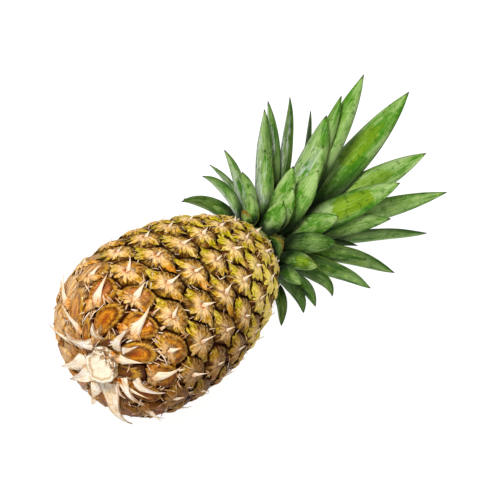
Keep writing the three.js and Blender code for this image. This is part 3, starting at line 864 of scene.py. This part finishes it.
# %% Scatter fibres along the grooves
FIBRE_GRID = (2, 5)
FIBRE_WALL = 0.25
fibres = Pile(sheet(*FIBRE_GRID))
side, s = sheet_places(fibres.master)
for eye in eyes_from(SPIKE_FIRST, SPIKE_LAST):
    draw = draws("fibre", eye.number)
    for _ in range(3 + round(10 * eye.lower)):
        around = draw.uniform(0, 360)
        start = towards(around) * eye.rim(np.zeros(2), np.array([around])) * draw.uniform(0.72, 1.0)
        way_x, way_y = towards(around + draw.normal(0, 40))
        length = draw.uniform(2, 4.5) + 6 * eye.lower * draw.random()
        width = draw.uniform(0.35, 0.75) + 2.2 * eye.lower * draw.random() ** 2
        bend = draw.normal(0, 0.25)
        forward = length * s
        aside = side * width / 2 * (1 - s) ** 0.8 + bend * length * s**2
        x = start[0] + (forward * way_x - aside * way_y) / max(eye.wide, LEAST_SHRINK)
        y = start[1] + (forward * way_y + aside * way_x) / max(eye.tall, LEAST_SHRINK)
        lift = -1.4 + draw.uniform(1.2, 3.4) * s + 0.3 * np.abs(side)
        fibres.add(eye.skin(x, y, lift), spike=(s * 0.3 + draw.uniform(-0.15, 0.2), side, draw.random()))
fringes = fibres.joined("fringe_fibres")
thicken(fringes, FIBRE_WALL)
cover(fringes, spike_material)
dress(fringes, "rind")

# %% [markdown]
# ## The cut stalk and its ruff
# At the base the stalk was cut off, leaving a hollow stub with a raised pale rim. Long straw-coloured
# bracts star out from it over the lowest eyes. Each starts as a flat grid, and is curled up at its tip.

# %% The ruff of dried bracts
SCAR = (9, 15)  # the stub's middle, as millimetres from the axis up and to the front
RUFF_GRID = (10, 16)
RUFF_WALL = 0.7
BRACT_SUNK = 2.5
BRACT_PROUD = 0.6
# the middle of the root and the tip, each from the axis up and to the front, then width and rise
RUFF = [
    (0, -1, -19, -26, 20, 4),
    (-8, 4, -25, -18, 17, 4),
    (-12, 8, -28, 4, 20, 3),
    (-7, 17, -39, 31, 21, 9),
    (1, 27, -15, 43, 14, 4),
    (22, 20, 39, 27, 14, 5),
    (17, 2, 12, -20, 11, 4),
    (9, -7, 15, -20, 11, 3),
    (24, 6, 34, 3, 15, 3),
    (-6, 22, -14, 30, 12, 1),
    (24, 25, 29, 35, 8, 2),
    (2, 37, -4, 52, 11, 4),
]


def base_height(out):
    u = (1 - unit(out / FRUIT_RADIUS) ** SHOULDER_POWER) ** (1 / SHOULDER_POWER)
    return FRUIT_LENGTH * ((1 - u) / 2) ** (1 / BASE_HEAVINESS)


def lay_flat(across, z):
    """Places given by their two distances from the axis, towards the top and the front, and a height."""
    return BASE_POLE + z[..., None] * ALONG + across[..., :1] * TOP + across[..., 1:] * FRONT


ruff_pieces = Pile(sheet(*RUFF_GRID))
side, s = sheet_places(ruff_pieces.master)
for number, (root_top, root_front, tip_top, tip_front, width, rise) in enumerate(RUFF):
    draw = draws("ruff", number)
    root, tip = np.array([root_top, root_front]), np.array([tip_top, tip_front])
    inwards = np.array(SCAR) - root
    root = root + 3 * inwards / np.linalg.norm(inwards)
    length = np.linalg.norm(tip - root)
    onwards = (tip - root) / length
    sideways = np.array([-onwards[1], onwards[0]])
    torn = 1 + 0.12 * np.sin(s * draw.uniform(9, 14) + draw.uniform(0, 6)) * np.sign(side)
    half = width / 2 * (0.8 * (1 - s) ** 1.9 + 0.2 * (1 - s**3)) * torn
    spot = root + (length * s)[:, None] * onwards + (side * half)[:, None] * sideways
    lift = rise * s**1.5 + 1.4 * np.sin(math.pi * s) - BRACT_SUNK * (1 - s) ** 3
    cup = draw.uniform(-0.25, 0.35) * np.abs(side) ** 1.5 * half
    crease = 0.35 * np.sin(side * draw.uniform(6, 11) + draw.uniform(0, 6)) * (1 - s * 0.5)
    curl = draw.uniform(0.4, 1.2) * unit(side * draw.choice([-1, 1])) ** 2 * np.sin(math.pi * s)
    height = base_height(np.linalg.norm(spot, axis=1)) - (lift - cup + crease + curl + BRACT_PROUD)
    ruff_pieces.add(lay_flat(spot, height), ruff=(s, side, number / len(RUFF)))
ruff = ruff_pieces.joined("ruff")
thicken(ruff, RUFF_WALL)

# %% Mix the straw of the ruff
paint = Paint("straw", DRY_SPECULAR)
s, side, own = paint.noted("ruff")
streak = paint.noise(2.2, 4, 0.6, (side * 4 + own * 90, s * 1.5))
spots = paint.noise(160, 3, 0.6)
straw = paint.coats(
    spots.ramp((0.28, "c89c64"), (0.4, "ecd4b0"), (0.54, "f8ead6"), (0.75, "fff8ee")),
    (streak.fall(0.35, 0.43) * 0.75, "9a5c22"),
    (streak.rise(0.56, 0.7) * 0.5, "fff8ec"),
    # Painted shade: a thin brown line along each bract's edges stands for the shadow there.
    (abs(side).rise(0.84, 1.0) * 0.7, "a86c30"),
    (s.rise(0.88, 1.0) * 0.6, "a86c2c"),
)
cover(ruff, paint.finish(Base_Color=straw, Roughness=0.65, Normal=paint.bump(streak + spots, 0.5)))
dress(ruff, "rind")

# %% The hollow stub
STUB_RADIUS = 10
STUB_RAYS = 48
STUB_PROUD = 5
STUB_TILT = 0.36
STUB_TILT_TO = (-0.77, -0.64)
# how far in and how proud the stub's skin is, from its foot over its rim to the middle of its hollow
STUB_PROFILE = [(1.02, -9), (1.0, -4), (1.0, -1), (1.06, 0.2), (1.08, 0.3), (0.98, 0.4), (0.84, 0.1)]
STUB_PROFILE += [(0.66, -1.3), (0.5, -1.7), (0.34, -1.6), (0.17, -1.8), (0, -1.6)]
STUB_TORN_TO = (0.9, 0.43)  # the side on which the stub is torn, up and to the front
profile = np.array(STUB_PROFILE)
steps = len(profile) - 1
stub = disc(STUB_RAYS, [1 / steps] * (steps - 1))
stub.name = stub.data.name = "stub"
outs, arounds = disc_places(stub)
index = (1 - outs) * steps
radius = np.interp(index, range(len(profile)), profile[:, 0]) * STUB_RADIUS
around = np.radians(arounds)
waves = 0.09 * np.sin(2 * around + 1) + 0.06 * np.sin(5 * around) + 0.04 * np.sin(9 * around + 2)
spot = (radius * (1 + waves))[:, None] * np.stack([np.cos(around), -np.sin(around)], axis=1)
above = np.interp(index, [0, 1, 2.5], [0, 0.2, 1])
proud = np.interp(index, range(len(profile)), profile[:, 1])
proud = proud + (STUB_PROUD + STUB_TILT * spot @ np.array(STUB_TILT_TO)) * above
hollow = unit(index - 5)
torn = unit(spot @ np.array(STUB_TORN_TO) / 4 + 0.3) * above
crumbling = bumps(spot[:, 0], spot[:, 1], draws("stub"), 1.2)
proud = proud + (0.5 + 1.4 * torn * hollow) * crumbling - 1.2 * torn
press(stub, lay_flat(np.array(SCAR) + spot, -proud))
note(stub, "stub", index / steps, torn, 0)
select(stub)
bpy.ops.object.shade_smooth()
paint = Paint("stub", DRY_SPECULAR)
inwards, torn, _ = paint.noted("stub")
spots = paint.noise(240, 3, 0.7)
pores = paint.noise(620, 2, 0.5)
# Painted light and shade on the pith: darker down the outer wall, lightest on the rim and a little darker in
# the hollow.
pith_shading = inwards + (spots - 0.5) * 0.1
wavy = inwards + (spots - 0.5) * 0.12
line = wavy.rise(0.48, 0.52) * wavy.fall(0.55, 0.6) * (1 - torn * 0.6)
crumbs = (spots + torn * 0.1).rise(0.56, 0.6) * torn
pith = paint.coats(
    pith_shading.ramp((0.06, "9a6a30"), (0.16, "e2c898"), (0.28, "f6ead4"), (0.6, "efe0c6")),
    (spots.rise(0.5, 0.64) * 0.35, "d8b88a"),
    (line * 0.7, "b8935c"),
    (crumbs * 0.9, pores.ramp((0.4, "5a3008"), (0.55, "a06a2a"), (0.7, "c9a05a"))),
    (pores.rise(0.62, 0.7) * 0.45, "8a6434"),
)
cover(stub, paint.finish(Base_Color=pith, Roughness=0.7, Normal=paint.bump(spots + pores, 0.7)))
dress(stub, "rind")

# %% [markdown]
# ## The crown's leaves
# Each leaf is a long blade that bends evenly from its foot to its tip, cupped across and wrapped round the
# stem at its root. The rows say where each one points, as in the solids. A fine grid is pressed to the same
# shape, and gets small lengthwise folds, a wavy edge and a wall.

# %% The rows of leaves
STEM_FOOT_RADIUS = 23
STEM_TOP_RADIUS = 6
STEM_FLARE = 28
LEAF_GAP = 0.9
LOWEST_LEAF = -6
LEAF_SPREAD = 46
LEAF_CUP = 0.22
HOOK_FROM = 0.7
LEAF_WRAP = 15
# turn about the axis, the tip's place along it and out from it, degrees of bend, breadth and what is its own
CROWN_LEAVES = [
    (-58, -29, 62, 90, 1),
    (-70, -14, 68, 85, 0.6, {"silver": 0.8}),
    (-24, -4, 35, 10, 0.75, {"dry": 1}),
    (56, 11, 18, 0, 1.6, {"foot": -6, "dry": 0.8, "painted_light": 0.15}),
    (-28, 10, 42, 15, 1.1),
    (12, 14, 43, 15, 1.15),
    (-38, 21, 57, 10, 1.1, {"hook": 15, "silver": 0.4}),
    (-66, 16, 76, 70, 0.8, {"hook": 30, "silver": 0.8}),
    (10, 25, 49, 15, 1.2),
    (-54, 33, 80, 25, 0.8, {"silver": 0.6}),
    (-74, 38, 86, 60, 0.5, {"silver": 0.9, "dark": 0.3}),
    (0, 35, 59, 15, 1.1),
    (14, 48, 58, 20, 1.25),
    (-34, 47, 64, 5, 1.15, {"silver": 0.6}),
    (-48, 86, 92, -5, 1.1, {"silver": 0.9}),
    (4, 66, 66, 25, 1.2, {"silver": 0.7}),
    (-52, 102, 98, 25, 0.8, {"silver": 1}),
    (-46, 116, 91, 15, 0.75, {"silver": 1, "dark": 0.5}),
    (-14, 100, 73, 20, 1.4, {"silver": 0.4}),
    (-14, 122, 82, 15, 0.9),
    (-11, 148, 92, 10, 1),
    (-64, 156, 78, 20, 0.6, {"dark": 1}),
    (2, 192, 67, 6, 1.1, {"rub": 0.8}),
    (50, 166, 54, 14, 1, {"rub": 0.5}),
    (132, -20, 56, 50, 0.85),
    (108, 4, 42, 15, 1.1),
    (138, 12, 60, 75, 1, {"hook": 10, "dark": 0.5}),
    (128, 18, 60, 60, 1, {"hook": 25, "dark": 0.4}),
    (92, 17, 44, 10, 1.15, {"painted_light": 0.8, "dry": 0.15, "rub": 1}),
    (118, 32, 62, 50, 1, {"hook": 50, "dark": 0.4}),
    (76, 37, 46, 15, 1.2, {"painted_light": 0.3}),
    (56, 50, 43, 20, 1.2),
    (116, 60, 75, 25, 1),
    (98, 59, 61, 20, 1, {"dark": 0.35}),
    (112, 86, 78, 30, 1, {"dark": 0.3, "rub": 0.3}),
    (114, 81, 42, 15, 0.6, {"dark": 0.8}),
    (78, 92, 59, 15, 1),
    (116, 154, 68, -3, 0.8),
    (54, 101, 69, -4, 1.1, {"rub": 1}),
    (76, 149, 76, 4, 0.8),
    (-110, -14, 62, 90, 1),
    (-150, -12, 46, 60, 1),
    (165, -4, 46, 60, 1),
    (-90, 22, 66, 60, 1),
    (-132, 20, 56, 60, 1),
    (178, 20, 42, 50, 1),
    (-105, 46, 78, 60, 1),
    (152, 50, 44, 50, 1),
    (-150, 52, 46, 50, 1),
    (180, 70, 36, 40, 1),
    (-101, 110, 70, 38, 0.8),
    (-126, 97, 63, 33, 0.9),
    (166, 104, 34, 20, 1),
    (-151, 110, 30, 22, 0.8),
    (-100, 150, 50, 20, 1),
    (150, 150, 28, 20, 0.8),
]
CROWN_LEAVES.sort(key=lambda row: -math.atan2(row[2], row[1]))
print(len(CROWN_LEAVES), "leaves")

# %% Bend a leaf
LEAF_GRID = (10, 42)
MIDLINE_STEPS = 168
SUNNY_TURN = 10


def stem_radius(along):
    flare = math.exp(-(along + CROWN_SEAT) / STEM_FLARE)
    return STEM_TOP_RADIUS + (STEM_FOOT_RADIUS - STEM_TOP_RADIUS) * flare


def midline(foot, tip, bend, hook, rows):
    """Where a leaf's middle runs: along the axis, out from it and its lean, for each row, and its length."""
    chord = math.hypot(tip[0] - foot[0], tip[1] - foot[1])
    lean = math.atan2(tip[1] - foot[1], tip[0] - foot[0])
    half = math.radians(bend) / 2
    length = chord * half / math.sin(half) if half else chord

    def lean_at(s):
        past = unit((s - HOOK_FROM) / (1 - HOOK_FROM))
        return lean + half * (2 * s - 1) + math.radians(hook) * past**1.3

    angles = lean_at((np.arange(MIDLINE_STEPS) + 0.5) / MIDLINE_STEPS)
    at = np.linspace(0, 1, MIDLINE_STEPS + 1)
    along = foot[0] + running(np.cos(angles)) * length / MIDLINE_STEPS
    out = foot[1] + running(np.sin(angles)) * length / MIDLINE_STEPS
    return np.interp(rows, at, along), np.interp(rows, at, out), lean_at(rows), length


leaves = Pile(sheet(*LEAF_GRID))
side, s = sheet_places(leaves.master)
for number, (turn, tip_along, tip_out, bend, broad, *own) in enumerate(CROWN_LEAVES):
    own = own[0] if own else {}
    draw = draws("leaf", number)
    foot_along = own.get("foot", LOWEST_LEAF + LEAF_SPREAD * (number / len(CROWN_LEAVES)) ** 1.4)
    foot = (foot_along, stem_radius(foot_along) + LEAF_GAP)
    along, out, lean, length = midline(foot, (tip_along, tip_out), bend, own.get("hook", 0), s)
    width = (12 + 0.1 * length) * broad
    root = 0.6 + 0.4 * np.sin(math.pi / 2 * unit(s / 0.3))
    breadth = width * root * (1 - s**4.2)
    wrap = np.maximum(out, LEAF_WRAP)
    across = wrap * np.sin(side * breadth / 2 / wrap)
    trough = wrap * (1 - np.cos(side * breadth / 2 / wrap))
    trough = trough + LEAF_CUP * np.abs(side) ** 1.5 * breadth * unit(3 * s) / 2
    waves = 0.35 * np.sin(s * draw.uniform(8, 14) + draw.uniform(0, 6)) * np.abs(side) ** 2
    folds = 0.12 * np.sin(side * draw.uniform(7, 10) + draw.uniform(0, 6)) * (1 - s)
    trough = trough + waves + folds
    places = lay(turn, out - trough * np.cos(lean), FRUIT_LENGTH + along + trough * np.sin(lean))
    places = places + lay(turn + 90, across, 0) - BASE_POLE
    # Painted light: a leaf turned towards the top, SUNNY_TURN degrees past it, is painted lighter, and one
    # turned to the floor darker as shade.
    painted_light = 0.52 + 0.42 * towards(turn - SUNNY_TURN)[0] + draw.normal(0, 0.08)
    piece = leaves.add(
        places,
        leaf=(s, side, breadth / 2),
        tone=(own.get("painted_light", painted_light), *draw.random(2)),
        age=(own.get("dry", 0), draw.random(), own.get("rub", 0)),
        own=(own.get("silver", 0), own.get("dark", 0), towards(turn + 60)[0]),
    )
    piece.name = f"crown_leaf_{number + 1:02d}"
    piece.data.name = piece.name
bpy.data.objects.remove(leaves.master)
print("each leaf has", len(piece.data.polygons), "faces before its wall")

# %% [markdown]
# ## The leaves' colour
# A leaf is deep green under a pale silvery bloom. Where the bloom is rubbed off, mostly along the middle, a
# bright yellowish green shows. Fine streaks run along it, its edges are thin and dark, the root is painted in
# deep shade, and the tip has dried to brown. Leaves turned towards the floor are painted darker as shade,
# those turned to the top lighter, and the under faces are paler.

# %% Mix the leaf's two paints
LEAF_WALL = 0.8
LEAF_SPECULAR = 0.1
BACK_SILVER = 0.55


def leaf_paint(name, silver):
    paint = Paint(name, LEAF_SPECULAR)
    s, side, half = paint.noted("leaf")
    # The first number of the tone attribute is the painted light share; the other two are random.
    painted_light, tone, tone_too = paint.noted("tone")
    dry, age, rub = paint.noted("age")
    silvery, dark, sunward = paint.noted("own")
    streak = paint.noise(3.0, 4, 0.65, (side * half * 0.5 + tone * 70, s * 1.6, tone_too * 9))
    cloud = paint.noise(1.0, 4, 0.6, (side * 0.9 + tone_too * 50, s * 2.2 + tone * 30))
    smear = paint.noise(1.1, 6, 0.7, (side * 1.2 + tone * 20, s * 3 + tone_too * 60, 5))
    flecks = paint.noise(180, 5, 0.7)
    wander = streak - 0.5
    stray = flecks - 0.5
    fresh = paint.mix(painted_light, "2a5606", "84b03c")
    bloom = (cloud + wander * 0.25 + stray * 0.2).rise(0.38, 0.66)
    middle = s.rise(0.3, 0.5) * s.fall(0.66, 0.84) * abs(side + 0.1).fall(0.3, 0.9)
    rubbed = (smear + middle * (0.14 + rub * 0.26) + stray * 0.08).rise(0.68, 0.7)
    gleam = (smear + wander * 0.6 - side * 0.12).rise(0.5, 0.58) * (1 - s.rise(0.5, 0.9) * 0.6)
    shade = (abs(side) * 0.5 + side * sunward * 0.4).rise(0.25, 0.75)
    # Painted shade at each leaf's root, where the leaves around it cover it.
    root = (s + (cloud - 0.5) * 0.2 - abs(side) * 0.2).fall(0.02, 0.46)
    edge = (abs(side) + stray * 0.1).rise(0.93, 0.99)
    dried = (s + wander * 0.5 + (abs(side) - 0.6) * 0.15).rise(0.35, 0.95) * dry
    tip = (s + wander * 0.05).rise(0.955, 0.99)
    green = paint.coats(
        paint.mix(painted_light, "0c2c02", "44860c"),
        (cloud.rise(0.32, 0.62), fresh),
        (bloom * (painted_light * 0.7 + 0.06 + silver * 0.3 + rub * 0.15), "b2cc88"),
        (rubbed * (0.3 + rub * 0.65) * (1 - silver), paint.mix(cloud, "4e7c02", "92b010")),
        (gleam * silvery * 0.9, "e0e6dc"),
        (silver, "8fa380"),
        (streak.fall(0.34, 0.48) * 0.35, "1f4a04"),
        (streak.rise(0.54, 0.68) * 0.3, "c4e0a0"),
        (flecks.fall(0.38, 0.44) * 0.5, "244c02"),
        (flecks.rise(0.57, 0.66) * 0.35, "b4d45c"),
        (shade * 0.5, "103006"),
        (root * 0.97, "051401"),
        (dark * (0.85 - rubbed * 0.3), "0c2202"),
        (edge * 0.5, paint.mix(age.rise(0.5, 0.8), "183006", "6c8014")),
        (dried * 0.85, paint.mix(streak.rise(0.4, 0.6), "5a3004", "b88a30")),
        (tip * 0.85, "30280c"),
    )
    relief = paint.bump((side * half * 4).sin() * 0.25 + streak + flecks, 0.3)
    return paint.finish(Base_Color=green, Roughness=0.5 + cloud * 0.2, Normal=relief)


leaf_face = leaf_paint("leaf_face", 0)
leaf_back = leaf_paint("leaf_back", BACK_SILVER)
for number, piece in enumerate(leaves.pieces):
    cover(piece, leaf_face, leaf_back)
    thicken(piece, LEAF_WALL, under=1)
    bpy.ops.object.shade_smooth()
    dress(piece, "leaf", f"leaf_{number + 1:02d}")
print(len(leaves.pieces), "leaves are dressed")

# %% The crown's stem
paint = Paint("crown_stem")
spots = paint.noise(120, 3, 0.6)
stem_green = spots.ramp((0.3, "4c5a20"), (0.5, "7d8a3c"), (0.7, "b9b46a"))
cover(
    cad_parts["crown_stem"],
    paint.finish(Base_Color=stem_green, Roughness=0.7, Normal=paint.bump(spots, 0.5)),
)

# %% [markdown]
# ## Floor and light
# The photograph has a plain white ground and soft light from above, with hardly a shadow. A floor that
# glows by itself hides the shadow, a dim white sky fills from all sides, and two large lamps give the
# gloss.

# %% The floor
FLOOR_SIZE = 8  # in metres
FLOOR_GLOW = 0.95
bpy.ops.mesh.primitive_plane_add(size=FLOOR_SIZE)
floor = bpy.context.object
floor.name = "floor"
paint = Paint("floor")
white = {"Base_Color": "808080", "Roughness": 1.0, "Emission_Color": "ffffff"}
cover(floor, paint.finish(Emission_Strength=FLOOR_GLOW, **white))

# %% The lamps and the sky
# each lamp's place and size in metres, and its power in watts
LAMPS = {"key": ((-0.5, -0.1, 1.3), 0.4, 19), "fill": ((0.9, -0.9, 0.8), 0.9, 3.8)}
SKY_STRENGTH = 0.26
for name, (place, size, power) in LAMPS.items():
    data = bpy.data.lights.new(name, "AREA")
    data.size = size
    data.energy = power
    lamp = bpy.data.objects.new(name, data)
    lamp.location = place
    lamp.rotation_euler = (-lamp.location).to_track_quat("-Z", "Y").to_euler()
    bpy.context.scene.collection.objects.link(lamp)
world = bpy.data.worlds.new("sky")
world.use_nodes = True
background = world.node_tree.nodes["Background"]
background.inputs["Color"].default_value = (1, 1, 1, 1)
background.inputs["Strength"].default_value = SKY_STRENGTH
bpy.context.scene.world = world
bpy.context.scene.view_settings.view_transform = "Standard"
print(len(LAMPS), "lamps and a white sky")
